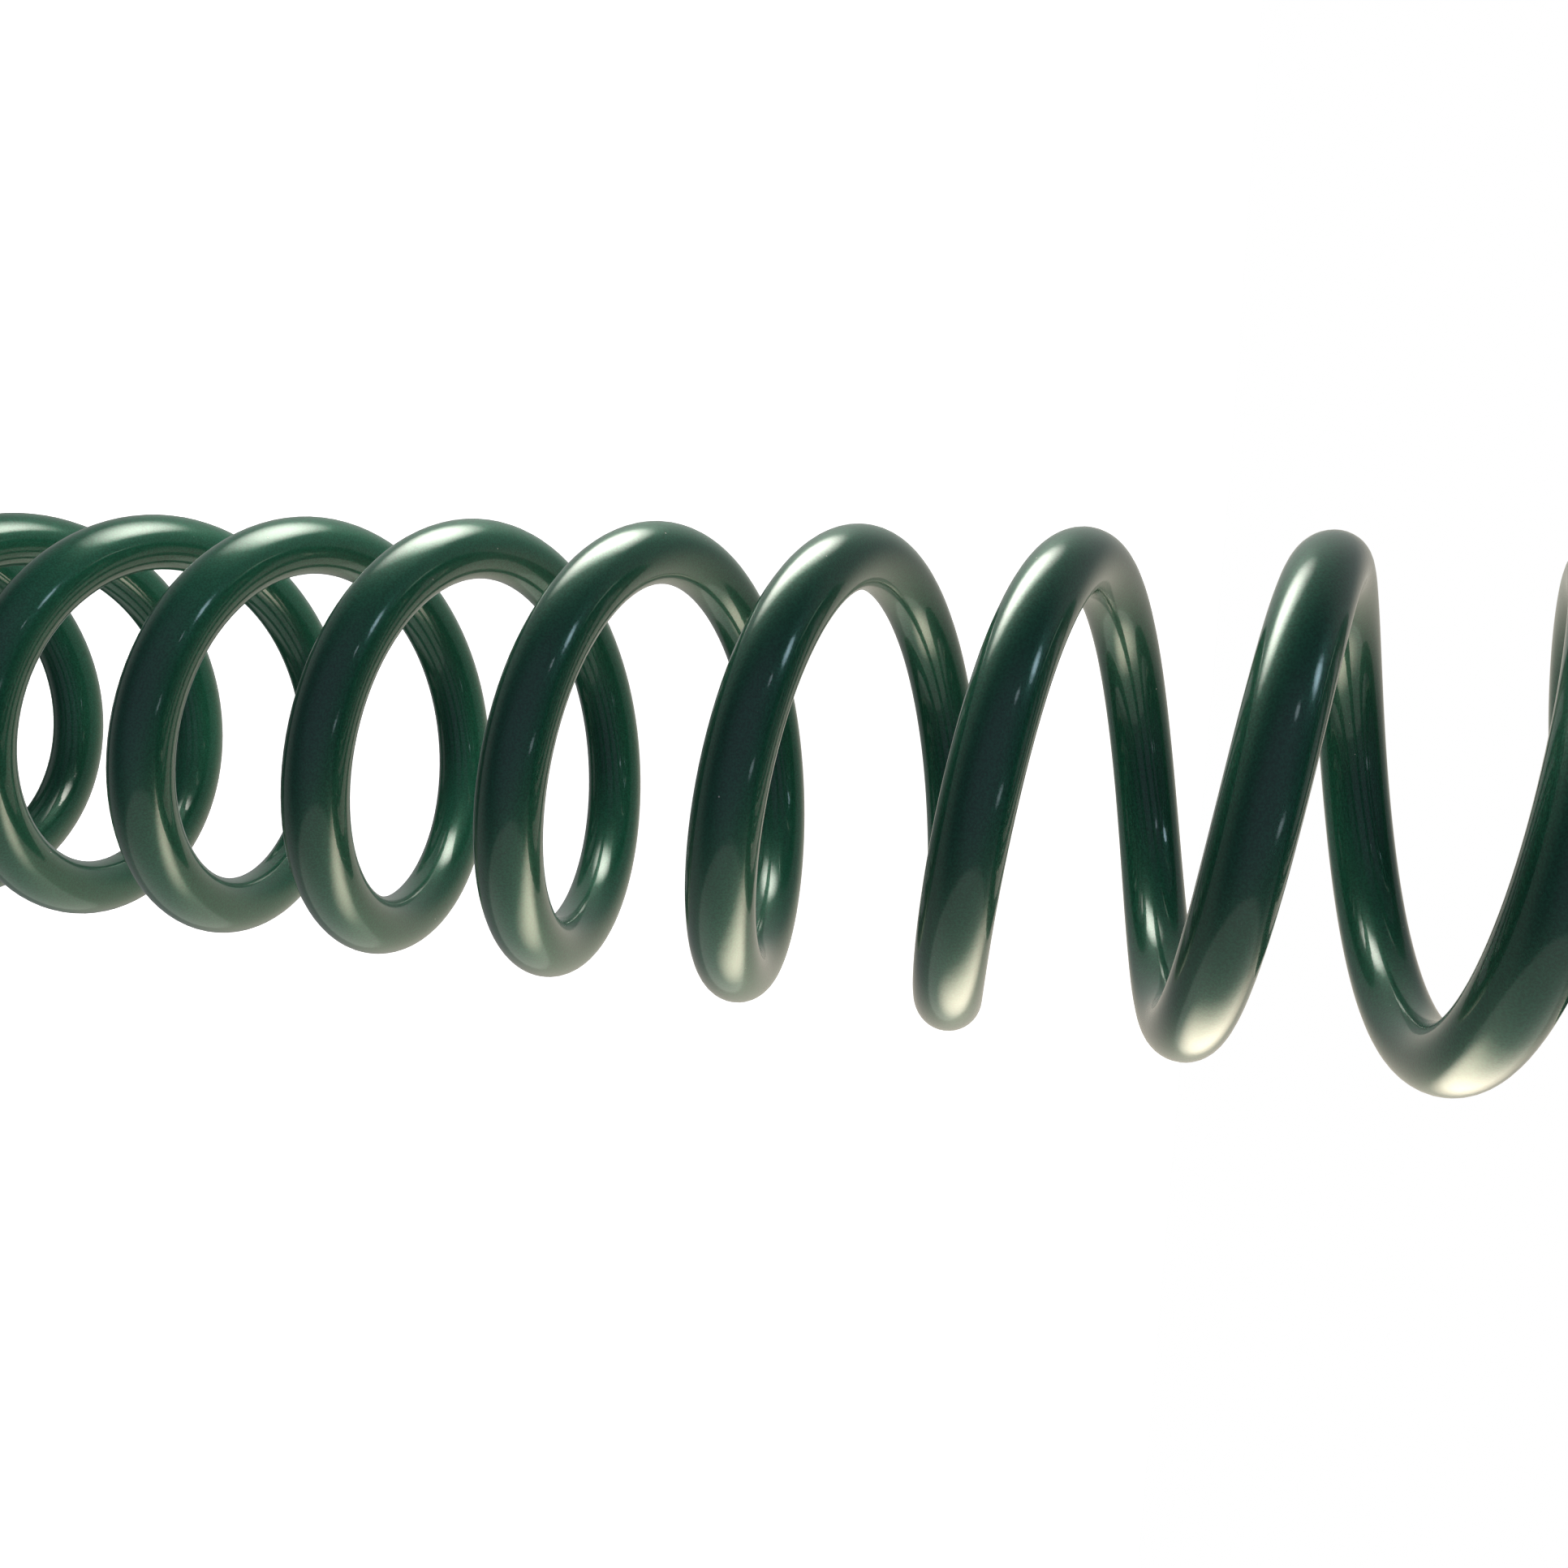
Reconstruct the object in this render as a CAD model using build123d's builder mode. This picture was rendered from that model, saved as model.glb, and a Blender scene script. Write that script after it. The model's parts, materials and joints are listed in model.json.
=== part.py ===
from build123d import *
import math
import os

# Helical compression spring, wound left-hand, closed and ground flat at both ends.
# It stands on its lower ground face: origin at the centre of that face, +Z along the spring.
# The wire is one bar. It is kept here as an end coil, quarter turns, and another end coil,
# so that every coil can close on the next one when the spring is compressed.

# Driving dimensions, in millimetres and turns
INNER_DIAMETER = 63.5
WIRE_DIAMETER = 11.3
FREE_LENGTH = 457.2
TIP_THICKNESS = 2.8
COIL_CLEARANCE = 0.3
FACE_GAP = 0.15
QUARTERS = 56
CLOSED_TURNS = 1.0
OPENING_TURNS = 0.5
END_COIL_QUARTERS = 5

# Worked out from the driving dimensions
TURNS = QUARTERS / 4
END_COIL_TURNS = END_COIL_QUARTERS / 4
COIL_RADIUS = (INNER_DIAMETER + WIRE_DIAMETER) / 2
TIP_HEIGHT = TIP_THICKNESS - WIRE_DIAMETER / 2
CLOSED_PITCH = WIRE_DIAMETER + COIL_CLEARANCE
CLOSED_RISE = CLOSED_PITCH * (2 * CLOSED_TURNS + OPENING_TURNS)
OPEN_TURNS = TURNS - 2 * CLOSED_TURNS - OPENING_TURNS
OPEN_PITCH = (FREE_LENGTH - 2 * TIP_HEIGHT - CLOSED_RISE) / OPEN_TURNS

# Each length of wire is made a little too long, then cut off on upright planes
OVERRUN = 0.02


def height(turn):
    """Height of the wire's centre, that many turns on from the lower tip."""
    if turn > TURNS / 2:
        return FREE_LENGTH - height(TURNS - turn)
    opening = min(max(turn - CLOSED_TURNS, 0), OPENING_TURNS)
    open_turns = max(turn - CLOSED_TURNS - OPENING_TURNS, 0)
    widened = opening**2 / (2 * OPENING_TURNS) + open_turns
    return TIP_HEIGHT + CLOSED_PITCH * turn + (OPEN_PITCH - CLOSED_PITCH) * widened


def centre(turn):
    """Point on the wire's centre line. It turns clockwise as it rises, so it is left-hand."""
    angle = -2 * math.pi * turn
    x = COIL_RADIUS * math.cos(angle)
    y = COIL_RADIUS * math.sin(angle)
    return Vector(x, y, height(turn))


def wire_length(start, end):
    """Round wire from one turn to another, square at its ends."""
    steps = round((end - start) * 24) + 2
    points = [centre(start + (end - start) * i / steps) for i in range(steps + 1)]
    with BuildPart() as wire:
        with BuildLine() as path:
            Spline(*points)
        with BuildSketch(Plane(origin=path.line @ 0, z_dir=path.line % 0)):
            Circle(WIRE_DIAMETER / 2)
        sweep(path=path.line)
    return wire.part


def end_coil():
    """Lower end coil, from its ground tip round to where the first quarter turn begins."""
    wire = wire_length(0, END_COIL_TURNS + OVERRUN)
    cut_height = height(END_COIL_TURNS) - 0.6 * WIRE_DIAMETER
    with BuildPart() as coil:
        add(wire)
        split(bisect_by=Plane.XY, keep=Keep.TOP)
        with Locations(Location((0, 0, cut_height), (0, 0, -360 * END_COIL_TURNS))):
            Box(
                2 * COIL_RADIUS,
                COIL_RADIUS,
                2 * WIRE_DIAMETER,
                align=(Align.MIN, Align.MAX, Align.MIN),
                mode=Mode.SUBTRACT,
            )
    return coil.part


def quarter_turn(index):
    """One quarter turn of wire, set back by half the face gap at each end."""
    start = index / 4
    quadrant = Plane.XY.rotated((0, 0, -90 * (index + 1)))
    corner = Vector(FACE_GAP / 2, FACE_GAP / 2, -WIRE_DIAMETER)
    wire = wire_length(start - OVERRUN, start + 0.25 + OVERRUN)
    with BuildPart() as piece:
        add(wire)
        with Locations(quadrant):
            with Locations(corner):
                Box(
                    2 * COIL_RADIUS,
                    2 * COIL_RADIUS,
                    FREE_LENGTH + 2 * WIRE_DIAMETER,
                    align=Align.MIN,
                    mode=Mode.INTERSECT,
                )
    return piece.part


os.makedirs("parts", exist_ok=True)

lower_coil = end_coil()
with BuildPart() as lower_end_coil:
    add(lower_coil)
lower_end_coil.part.label = "lower_end_coil"
export_step(lower_end_coil.part, "parts/lower_end_coil.step")

with BuildPart() as upper_end_coil:
    with Locations(Location((0, 0, FREE_LENGTH), (180, 0, 0))):
        add(lower_coil)
upper_end_coil.part.label = "upper_end_coil"
export_step(upper_end_coil.part, "parts/upper_end_coil.step")

for index in range(END_COIL_QUARTERS, QUARTERS - END_COIL_QUARTERS):
    name = f"turn_{index // 4 + 1:02d}_quarter_{index % 4 + 1}"
    length = quarter_turn(index)
    with BuildPart() as stretch:
        add(length)
    stretch.part.label = name
    export_step(stretch.part, f"parts/{name}.step")
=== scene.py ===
import json
import math

import bmesh
import bpy
import numpy as np
from mathutils import Matrix, Vector


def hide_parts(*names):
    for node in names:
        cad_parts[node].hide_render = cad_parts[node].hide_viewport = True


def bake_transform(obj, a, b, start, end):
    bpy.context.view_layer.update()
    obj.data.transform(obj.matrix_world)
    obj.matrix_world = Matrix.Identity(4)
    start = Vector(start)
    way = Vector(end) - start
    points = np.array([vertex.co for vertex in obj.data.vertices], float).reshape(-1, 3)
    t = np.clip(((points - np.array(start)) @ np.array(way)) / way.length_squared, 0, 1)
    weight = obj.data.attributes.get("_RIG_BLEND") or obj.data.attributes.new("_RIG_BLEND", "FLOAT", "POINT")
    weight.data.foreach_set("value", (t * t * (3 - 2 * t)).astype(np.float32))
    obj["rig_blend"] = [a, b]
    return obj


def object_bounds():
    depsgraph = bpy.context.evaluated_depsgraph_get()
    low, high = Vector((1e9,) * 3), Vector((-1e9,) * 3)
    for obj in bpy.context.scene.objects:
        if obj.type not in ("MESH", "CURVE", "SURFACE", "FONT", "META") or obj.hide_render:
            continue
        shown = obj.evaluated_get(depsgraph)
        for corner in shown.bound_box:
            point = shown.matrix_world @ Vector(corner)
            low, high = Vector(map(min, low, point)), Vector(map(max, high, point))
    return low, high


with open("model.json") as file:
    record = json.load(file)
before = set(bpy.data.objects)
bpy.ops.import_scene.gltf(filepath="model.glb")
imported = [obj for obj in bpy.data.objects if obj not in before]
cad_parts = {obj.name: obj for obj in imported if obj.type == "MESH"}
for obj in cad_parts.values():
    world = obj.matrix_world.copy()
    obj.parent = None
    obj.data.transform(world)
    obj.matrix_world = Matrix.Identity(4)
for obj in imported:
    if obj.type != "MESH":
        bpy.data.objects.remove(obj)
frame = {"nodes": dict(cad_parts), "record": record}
cad_low, cad_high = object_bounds()

# The spring's measures, in metres and turns. Its outside and its length come from the frame.
WIRE_DIAMETER = 0.0113
TIP_THICKNESS = 0.0028
COIL_CLEARANCE = 0.0003
CLOSED_TURNS = 1.0
OPENING_TURNS = 0.5
QUARTERS = 56
TURNS = QUARTERS / 4
FREE_LENGTH = cad_high.z - cad_low.z
COIL_RADIUS = (cad_high.x - cad_low.x - WIRE_DIAMETER) / 2

TIP_HEIGHT = TIP_THICKNESS - WIRE_DIAMETER / 2
CLOSED_PITCH = WIRE_DIAMETER + COIL_CLEARANCE
CLOSED_RISE = CLOSED_PITCH * (2 * CLOSED_TURNS + OPENING_TURNS)
OPEN_TURNS = TURNS - 2 * CLOSED_TURNS - OPENING_TURNS
OPEN_PITCH = (FREE_LENGTH - 2 * TIP_HEIGHT - CLOSED_RISE) / OPEN_TURNS

# The wire's mesh: rings along each turn, corners round it, and the part of a turn to either side at
# which its direction is taken. A point this near to a cutting plane, in metres, counts as on it.
RINGS_PER_TURN = 96
SIDES = 40
DIRECTION_STEP = 0.25 / RINGS_PER_TURN
CUT_TOLERANCE = 1e-7

# The wire's ground faces take its second material.
GROUND_MATERIAL = 1

# The picture is taken with the camera on its side, so the upright spring lies across it.
CAMERA_AT = Vector((0.1168, -0.1931, 0.3420))
CAMERA_AIM = Vector((0.0029, 0.0017, 0.2680))
PICTURE_UP = Vector((-0.848, -0.524, -0.074))
LENS = 30.2
SENSOR = 36.0
CLIP_START = 0.01


def add_camera():
    """The camera at the photograph's angle. Gives back its right, its up and its back."""
    data = bpy.data.cameras.new("camera")
    data.lens = LENS
    data.sensor_width = SENSOR
    data.clip_start = CLIP_START
    camera = bpy.data.objects.new("camera", data)
    back = (CAMERA_AT - CAMERA_AIM).normalized()
    right = PICTURE_UP.cross(back).normalized()
    up = back.cross(right)
    turn = Matrix((right, up, back)).transposed()
    camera.matrix_world = Matrix.Translation(CAMERA_AT) @ turn.to_4x4()
    bpy.context.scene.collection.objects.link(camera)
    bpy.context.scene.camera = camera
    return right, up, back


def height(turn):
    """Height of the wire's centre, that many turns on from the lower tip."""
    if turn > TURNS / 2:
        return FREE_LENGTH - height(TURNS - turn)
    opening = min(max(turn - CLOSED_TURNS, 0), OPENING_TURNS)
    open_turns = max(turn - CLOSED_TURNS - OPENING_TURNS, 0)
    widened = opening**2 / (2 * OPENING_TURNS) + open_turns
    return TIP_HEIGHT + CLOSED_PITCH * turn + (OPEN_PITCH - CLOSED_PITCH) * widened


def centre(turn):
    """Point on the wire's centre line. It turns clockwise as it rises, so it is left-hand."""
    angle = -2 * math.pi * turn
    return Vector((COIL_RADIUS * math.cos(angle), COIL_RADIUS * math.sin(angle), height(turn)))


def share_closed(turns):
    """Share of the compression that the wire moves by at each turn, from the frame's couplings."""
    couplings = frame["record"]["behaviour"]["couplings"]
    ratios = sorted(coupling["ratio"] for coupling in couplings)
    end_quarters = (QUARTERS - len(ratios)) / 2
    middles = [(end_quarters + number + 0.5) / 4 for number in range(len(ratios))]
    end_turns = end_quarters / 4
    known_turns = [end_turns, *middles, TURNS - end_turns]
    return np.interp(turns, known_turns, [0.0, *ratios, 1.0])


def wire_mesh():
    """One unbroken round wire, ground flat at both ends. Each point keeps its turn in "turn"."""
    mesh = bmesh.new()
    turn_layer = mesh.verts.layers.float.new("turn")
    count = round(TURNS * RINGS_PER_TURN)
    rings = []
    for number in range(count + 1):
        turn = TURNS * number / count
        middle = centre(turn)
        along = (centre(turn + DIRECTION_STEP) - centre(turn - DIRECTION_STEP)).normalized()
        out = Vector((middle.x, middle.y, 0)).normalized()
        across = along.cross(out).normalized()
        ring = []
        for corner in range(SIDES):
            angle = 2 * math.pi * corner / SIDES
            offset = out * math.cos(angle) + across * math.sin(angle)
            vert = mesh.verts.new(middle + offset * WIRE_DIAMETER / 2)
            vert[turn_layer] = turn
            ring.append(vert)
        rings.append(ring)
    for ring, next_ring in zip(rings, rings[1:]):
        for corner in range(SIDES):
            after = (corner + 1) % SIDES
            face = mesh.faces.new((ring[corner], ring[after], next_ring[after], next_ring[corner]))
            face.smooth = True
    mesh.faces.new(reversed(rings[0]))
    mesh.faces.new(rings[-1])
    for level, side in ((cad_low.z, -1), (cad_high.z, 1)):
        grind(mesh, level, side)
    mesh.normal_update()
    return mesh


def grind(mesh, level, side):
    """Cuts the mesh off flat at a level and closes it with a flat face."""
    cut = bmesh.ops.bisect_plane(
        mesh,
        geom=mesh.verts[:] + mesh.edges[:] + mesh.faces[:],
        dist=CUT_TOLERANCE,
        plane_co=(0, 0, level),
        plane_no=(0, 0, side),
        clear_outer=True,
    )
    edges = [part for part in cut["geom_cut"] if isinstance(part, bmesh.types.BMEdge)]
    faces = bmesh.ops.triangle_fill(mesh, edges=edges, use_beauty=True, normal=(0, 0, side))
    for face in faces["geom"]:
        if isinstance(face, bmesh.types.BMFace):
            face.smooth = False
            face.material_index = GROUND_MATERIAL
    for edge in edges:
        edge.smooth = False


def add_wire(coat, ground):
    """The wire as one piece that bends between the two end coils, standing for every stretch."""
    built = wire_mesh()
    data = bpy.data.meshes.new("spring_wire")
    built.to_mesh(data)
    built.free()
    data.materials.append(coat)
    data.materials.append(ground)
    wire = bpy.data.objects.new("spring_wire", data)
    bpy.context.scene.collection.objects.link(wire)
    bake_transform(wire, "lower_end", "upper_end", start=(0, 0, cad_low.z), end=(0, 0, cad_high.z))
    turns = np.zeros(len(data.vertices), np.float32)
    data.attributes["turn"].data.foreach_get("value", turns)
    shares = share_closed(turns).astype(np.float32)
    data.attributes["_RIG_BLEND"].data.foreach_set("value", shares)
    data.attributes.remove(data.attributes["turn"])
    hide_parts(*frame["nodes"])


def material(name):
    """A new node material and its one shader."""
    made = bpy.data.materials.new(name)
    made.use_nodes = True
    shader = made.node_tree.nodes["Principled BSDF"]
    return made, shader


def add_node(tree, kind, **inputs):
    """A node of that kind, with its inputs set or joined by name."""
    node = tree.nodes.new(kind)
    for key, value in inputs.items():
        set_input(tree, node, key.replace("_", " "), value)
    return node


def set_input(tree, node, key, value):
    """Joins a socket to the input with that name or number, or sets the input to a value."""
    if isinstance(value, bpy.types.NodeSocket):
        tree.links.new(value, node.inputs[key])
    else:
        node.inputs[key].default_value = value


def noise(tree, place, scale, detail=2.0, roughness=0.5):
    """A noise texture's value at a place."""
    node = add_node(tree, "ShaderNodeTexNoise", Vector=place, Scale=scale, Detail=detail)
    node.inputs["Roughness"].default_value = roughness
    return node.outputs["Fac"]


def ramp(tree, value, low, high, to_low=0.0, to_high=1.0):
    """The value stretched from low..high to to_low..to_high, held at the ends."""
    node = add_node(tree, "ShaderNodeMapRange", Value=value)
    node.inputs["From Min"].default_value = low
    node.inputs["From Max"].default_value = high
    node.inputs["To Min"].default_value = to_low
    node.inputs["To Max"].default_value = to_high
    return node.outputs["Result"]


def maths(tree, operation, first, second):
    """Two values put together."""
    node = tree.nodes.new("ShaderNodeMath")
    node.operation = operation
    set_input(tree, node, 0, first)
    set_input(tree, node, 1, second)
    return node.outputs["Value"]


def colour_sockets(sockets):
    """The colour sockets of a mix node, which has one set of sockets for each kind of data."""
    return [socket for socket in sockets if socket.type == "RGBA"]


def mix_colours(tree, share, first, second):
    """A blend of two colours by a share."""
    node = tree.nodes.new("ShaderNodeMix")
    node.data_type = "RGBA"
    tree.links.new(share, node.inputs[0])
    for socket, value in zip(colour_sockets(node.inputs), (first, second)):
        if isinstance(value, bpy.types.NodeSocket):
            tree.links.new(value, socket)
        else:
            socket.default_value = (*value, 1.0)
    return colour_sockets(node.outputs)[0]


def bump(tree, value, distance, normal=None):
    """A bump of that height in metres."""
    node = add_node(tree, "ShaderNodeBump", Height=value)
    node.inputs["Strength"].default_value = 1.0
    node.inputs["Distance"].default_value = distance
    if normal is not None:
        tree.links.new(normal, node.inputs["Normal"])
    return node.outputs["Normal"]


# A speck is full out to this share of its size. A cell goes from left out to chosen over this width
# of its random value.
SPECK_CORE = 0.5
CHOICE_WIDTH = 0.01


def specks(tree, place, per_metre, size, rare):
    """Round specks of that radius in metres, in the cells whose random value is above "rare"."""
    cells = add_node(tree, "ShaderNodeTexVoronoi", Vector=place, Scale=per_metre)
    rim = size * per_metre
    inside = ramp(tree, cells.outputs["Distance"], rim, rim * SPECK_CORE)
    parts = add_node(tree, "ShaderNodeSeparateColor", Color=cells.outputs["Color"])
    chosen = ramp(tree, parts.outputs["Red"], rare, rare + CHOICE_WIDTH)
    return maths(tree, "MULTIPLY", inside, chosen)


# Hairlines are specks drawn out along one direction. Each direction is a rotation in radians.
HAIRLINES_PER_METRE = 1500.0
HAIRLINE_SIZE = 0.00004
HAIRLINE_SCALE = (1.0, 0.03, 1.0)
HAIRLINE_TURNS = ((0.4, 0.2, 0.9), (1.9, 0.5, 0.1))
HAIRLINE_RARE = 0.8
HAIRLINE_STRENGTH = 0.3


def hairlines(tree, place, turn):
    """Short straight scratches along one direction, in a few of the cells only."""
    mapping = add_node(tree, "ShaderNodeMapping", Vector=place)
    mapping.inputs["Rotation"].default_value = turn
    mapping.inputs["Scale"].default_value = HAIRLINE_SCALE
    return specks(tree, mapping.outputs["Vector"], HAIRLINES_PER_METRE, HAIRLINE_SIZE, HAIRLINE_RARE)


DEEP_GREEN = (0.0115, 0.0850, 0.0490)
BRIGHT_GREEN = (0.0175, 0.1320, 0.0760)
DUST = (0.60, 0.60, 0.55)

# The coat's patterns: how many to the metre, and sizes and heights in metres. A cell has a speck of
# dust when its random value is above DUST_RARE.
CLOUDS_PER_METRE = 22.0
FLAKES_PER_METRE = 2900.0
WEAR_PER_METRE = 60.0
PEEL_PER_METRE = 620.0
PEEL_HEIGHT = 0.000016
GRAIN_HEIGHT = 0.000012
DUST_PER_METRE = 260.0
DUST_SIZE = 0.00016
DUST_HEIGHT = 0.00004
DUST_RARE = 0.78

# Smoothest and roughest. Both stay above 0.274, where the denoiser would draw contours on the wire.
SMOOTHEST = 0.29
ROUGHEST = 0.37


def green_coat():
    """Dark green gloss coat over a faintly pearly base, with orange peel, dust and hairlines."""
    made, shader = material("green_gloss_coat")
    tree = made.node_tree
    place = tree.nodes.new("ShaderNodeTexCoord").outputs["Object"]
    clouds = noise(tree, place, CLOUDS_PER_METRE, detail=3.0)
    flakes = noise(tree, place, FLAKES_PER_METRE, detail=2.0)
    cloud_tone = ramp(tree, clouds, low=0.3, high=0.7, to_low=0.0, to_high=0.4)
    flake_tone = ramp(tree, flakes, low=0.38, high=0.62, to_low=-0.2, to_high=0.8)
    tone = maths(tree, "ADD", cloud_tone, flake_tone)
    green = mix_colours(tree, tone, DEEP_GREEN, BRIGHT_GREEN)
    dust = specks(tree, place, DUST_PER_METRE, DUST_SIZE, DUST_RARE)
    one_way, other_way = (hairlines(tree, place, turn) for turn in HAIRLINE_TURNS)
    lines = maths(tree, "MAXIMUM", one_way, other_way)
    marks = maths(tree, "MAXIMUM", dust, maths(tree, "MULTIPLY", lines, HAIRLINE_STRENGTH))
    colour = mix_colours(tree, marks, green, DUST)
    peel = noise(tree, place, PEEL_PER_METRE, detail=2.0)
    grain = noise(tree, place, FLAKES_PER_METRE, detail=1.0)
    base_normal = bump(tree, grain, GRAIN_HEIGHT)
    coat_normal = bump(tree, dust, DUST_HEIGHT, bump(tree, peel, PEEL_HEIGHT))
    worn = noise(tree, place, WEAR_PER_METRE, detail=3.0)
    wear = ramp(tree, worn, low=0.3, high=0.8, to_low=SMOOTHEST, to_high=ROUGHEST)
    tree.links.new(colour, shader.inputs["Base Color"])
    tree.links.new(wear, shader.inputs["Roughness"])
    tree.links.new(base_normal, shader.inputs["Normal"])
    tree.links.new(coat_normal, shader.inputs["Coat Normal"])
    shader.inputs["Metallic"].default_value = 0.2
    shader.inputs["Specular IOR Level"].default_value = 0.3
    shader.inputs["Coat Weight"].default_value = 1.0
    shader.inputs["Coat Roughness"].default_value = 0.05
    shader.inputs["Coat IOR"].default_value = 1.5
    return made


# The grinding marks: noise drawn out along one direction, and patches where the coat is thinner.
GRINDING_SCALE = (1.0, 0.02, 1.0)
GRINDING_PER_METRE = 2400.0
GRINDING_HEIGHT = 0.00003
PATCHES_PER_METRE = 90.0


def ground_coat():
    """The same green on the ground ends: thinner, duller, and showing the grinding marks."""
    made, shader = material("green_ground_end")
    tree = made.node_tree
    place = tree.nodes.new("ShaderNodeTexCoord").outputs["Object"]
    mapping = add_node(tree, "ShaderNodeMapping", Vector=place)
    mapping.inputs["Scale"].default_value = GRINDING_SCALE
    marks = noise(tree, mapping.outputs["Vector"], GRINDING_PER_METRE, detail=2.0)
    mark_tone = ramp(tree, marks, low=0.35, high=0.65, to_low=0.0, to_high=0.5)
    patches = noise(tree, place, PATCHES_PER_METRE, detail=3.0)
    tone = ramp(tree, maths(tree, "ADD", mark_tone, patches), low=0.3, high=1.1)
    colour = mix_colours(tree, tone, DEEP_GREEN, BRIGHT_GREEN)
    roughness = ramp(tree, marks, low=0.3, high=0.7, to_low=0.32, to_high=0.5)
    tree.links.new(colour, shader.inputs["Base Color"])
    tree.links.new(roughness, shader.inputs["Roughness"])
    tree.links.new(bump(tree, marks, GRINDING_HEIGHT), shader.inputs["Normal"])
    shader.inputs["Metallic"].default_value = 0.35
    shader.inputs["Coat Weight"].default_value = 0.5
    shader.inputs["Coat Roughness"].default_value = 0.25
    return made


# The floor's width, and how far it lies under the lower ground face, in metres.
FLOOR_SIZE = 60.0
FLOOR_GAP = 0.0001


def add_floor():
    """Plain white floor under the spring, lit from within like a light table."""
    made, shader = material("white_floor")
    shader.inputs["Base Color"].default_value = (0.90, 0.90, 0.90, 1.0)
    shader.inputs["Roughness"].default_value = 0.9
    shader.inputs["Specular IOR Level"].default_value = 0.1
    shader.inputs["Emission Color"].default_value = (1.0, 1.0, 1.0, 1.0)
    shader.inputs["Emission Strength"].default_value = 1.0
    bpy.ops.mesh.primitive_plane_add(size=FLOOR_SIZE, location=(0, 0, cad_low.z - FLOOR_GAP))
    floor = bpy.context.object
    floor.name = "floor"
    floor.data.materials.append(made)
    floor.visible_glossy = False
    floor.visible_diffuse = False


def direction(axes, azimuth, elevation):
    """A direction by degrees right of and above the one towards the camera, as the picture shows them."""
    right, up, back = axes
    aside = math.radians(azimuth)
    above = math.radians(elevation)
    level = math.cos(above)
    return right * (level * math.sin(aside)) + up * math.sin(above) + back * (level * math.cos(aside))


# Far light of the room: azimuth, elevation, half-angles where each is full and where it ends, colour.
FAR_LIGHTS = (
    (180, 0, 82, 114, (0.15, 0.16, 0.14)),
    (180, 40, 10, 50, (0.17, 0.17, 0.15)),
    (150, -30, 6, 60, (0.38, 0.32, 0.24)),
    (0, 0, 10, 60, (0.12, 0.10, 0.15)),
    (0, -90, 45, 50, (0.36, 0.38, 0.34)),
    (0, -90, 20, 80, (0.08, 0.08, 0.06)),
)
ROOM = (0.06, 0.068, 0.085)

# Near lights: metres right of, above and back from the camera, half-width and half-height,
# strength, colour.
NEAR_LIGHTS = (
    ("overhead", (-0.022, 0.203, -0.268), (0.150, 0.078), 12.0, (1.0, 0.97, 0.88)),
    ("below", (0.076, -0.172, -0.262), (0.155, 0.088), 4.8, (1.0, 0.85, 0.67)),
    ("window", (0.315, 0.138, -0.043), (0.060, 0.050), 7.0, (0.62, 0.86, 1.0)),
    ("window_left", (0.127, 0.082, -0.036), (0.020, 0.016), 3.0, (0.75, 0.90, 1.0)),
    ("window_low", (0.274, -0.102, 0.040), (0.050, 0.030), 2.5, (0.75, 0.90, 1.0)),
)


# A glow is full out to its core and gone at its rim, as shares of its half-size. Its disc has corners.
GLOW_CORE = 0.1
GLOW_RIM = 1.0
GLOW_CORNERS = 48


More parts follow.
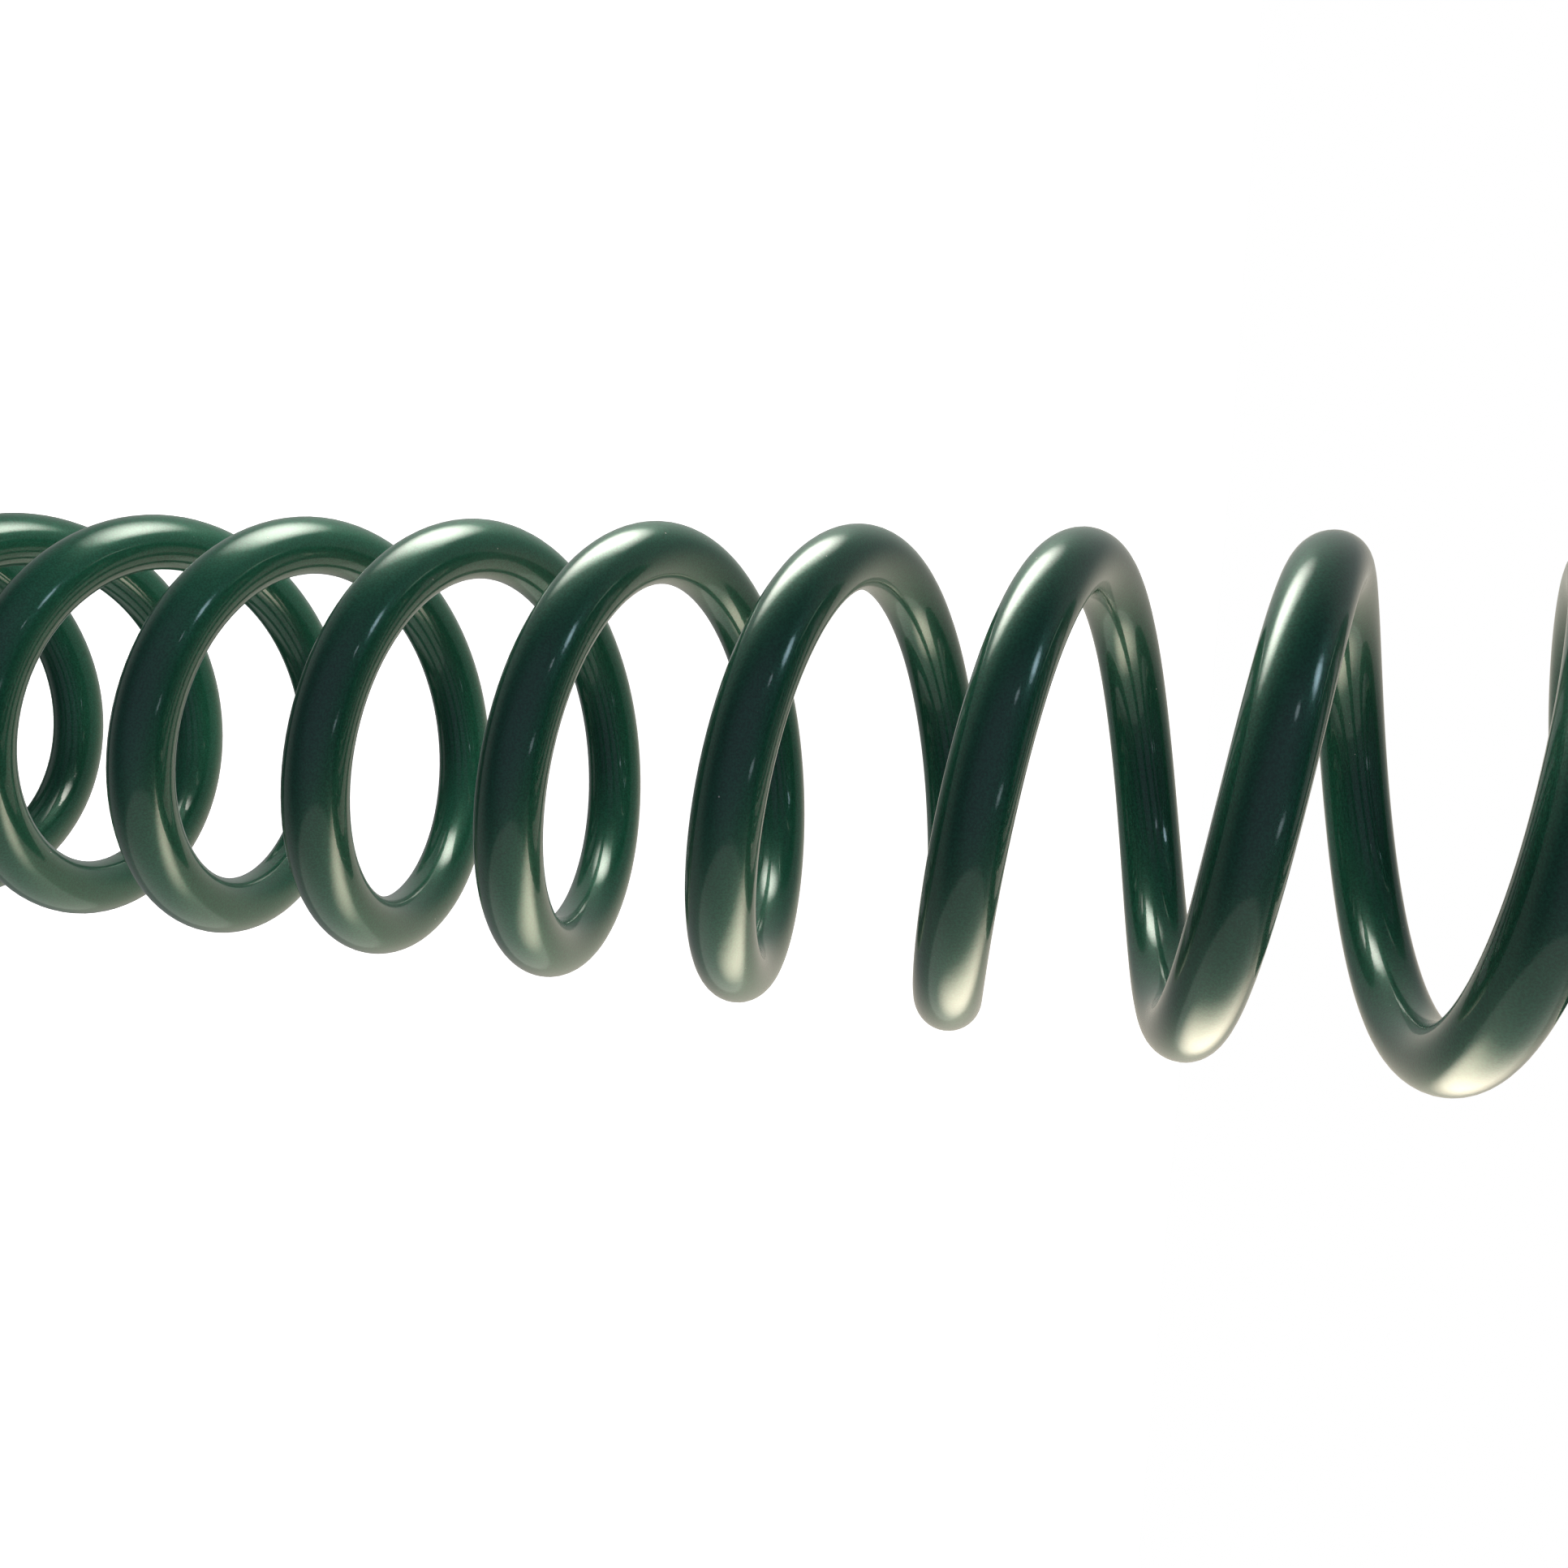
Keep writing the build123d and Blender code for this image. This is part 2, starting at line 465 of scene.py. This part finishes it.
def add_near_light(axes, name, place, size, strength, colour):
    """An oval glow facing the spring, brightest in the middle and fading to nothing at its rim."""
    right, up, back = axes
    made = bpy.data.materials.new(name)
    made.use_nodes = True
    tree = made.node_tree
    tree.nodes.clear()
    spot = tree.nodes.new("ShaderNodeTexCoord").outputs["Object"]
    far = tree.nodes.new("ShaderNodeVectorMath")
    far.operation = "LENGTH"
    tree.links.new(spot, far.inputs[0])
    share = add_node(tree, "ShaderNodeMapRange", Value=far.outputs["Value"])
    share.interpolation_type = "SMOOTHSTEP"
    share.inputs["From Min"].default_value = GLOW_RIM
    share.inputs["From Max"].default_value = GLOW_CORE
    share.inputs["To Max"].default_value = strength
    glow = add_node(tree, "ShaderNodeEmission", Strength=share.outputs["Result"])
    glow.inputs["Color"].default_value = (*colour, 1.0)
    clear = tree.nodes.new("ShaderNodeBsdfTransparent")
    both = tree.nodes.new("ShaderNodeAddShader")
    tree.links.new(glow.outputs[0], both.inputs[0])
    tree.links.new(clear.outputs[0], both.inputs[1])
    out = tree.nodes.new("ShaderNodeOutputMaterial")
    tree.links.new(both.outputs[0], out.inputs["Surface"])
    bpy.ops.mesh.primitive_circle_add(vertices=GLOW_CORNERS, radius=GLOW_RIM, fill_type="NGON")
    disc = bpy.context.object
    disc.name = name
    centre_at = CAMERA_AT + right * place[0] + up * place[1] + back * place[2]
    away = (centre_at - CAMERA_AIM).normalized()
    wide = (right - away * right.dot(away)).normalized()
    turn = Matrix((wide, away.cross(wide), away)).transposed()
    disc.matrix_world = Matrix.LocRotScale(centre_at, turn, Vector((*size, 1.0)))
    disc.data.materials.append(made)
    disc.visible_camera = False
    disc.visible_shadow = False


def add_world(axes):
    """A dim room with far light in it. The camera sees plain white behind the spring."""
    world = bpy.data.worlds.new("studio")
    bpy.context.scene.world = world
    world.use_nodes = True
    tree = world.node_tree
    way = tree.nodes.new("ShaderNodeTexCoord").outputs["Generated"]
    total = (*ROOM, 1.0)
    for azimuth, elevation, full, end, colour in FAR_LIGHTS:
        dot = tree.nodes.new("ShaderNodeVectorMath")
        dot.operation = "DOT_PRODUCT"
        tree.links.new(way, dot.inputs[0])
        dot.inputs[1].default_value = direction(axes, azimuth, elevation)
        share = add_node(tree, "ShaderNodeMapRange", Value=dot.outputs["Value"])
        share.interpolation_type = "SMOOTHSTEP"
        share.inputs["From Min"].default_value = math.cos(math.radians(end))
        share.inputs["From Max"].default_value = math.cos(math.radians(full))
        add = tree.nodes.new("ShaderNodeMix")
        add.data_type = "RGBA"
        add.blend_type = "ADD"
        add.clamp_result = False
        first, second = colour_sockets(add.inputs)
        tree.links.new(share.outputs["Result"], add.inputs[0])
        if isinstance(total, tuple):
            first.default_value = total
        else:
            tree.links.new(total, first)
        second.default_value = (*colour, 1.0)
        total = colour_sockets(add.outputs)[0]
    room = tree.nodes["Background"]
    tree.links.new(total, room.inputs["Color"])
    plain = add_node(tree, "ShaderNodeBackground", Strength=1.0)
    plain.inputs["Color"].default_value = (1.0, 1.0, 1.0, 1.0)
    seen = tree.nodes.new("ShaderNodeLightPath").outputs["Is Camera Ray"]
    mix = tree.nodes.new("ShaderNodeMixShader")
    tree.links.new(seen, mix.inputs[0])
    tree.links.new(room.outputs[0], mix.inputs[1])
    tree.links.new(plain.outputs[0], mix.inputs[2])
    tree.links.new(mix.outputs[0], tree.nodes["World Output"].inputs["Surface"])


camera_axes = add_camera()
add_wire(green_coat(), ground_coat())
add_floor()
for light in NEAR_LIGHTS:
    add_near_light(camera_axes, *light)
add_world(camera_axes)
bpy.context.scene.view_settings.view_transform = "Standard"
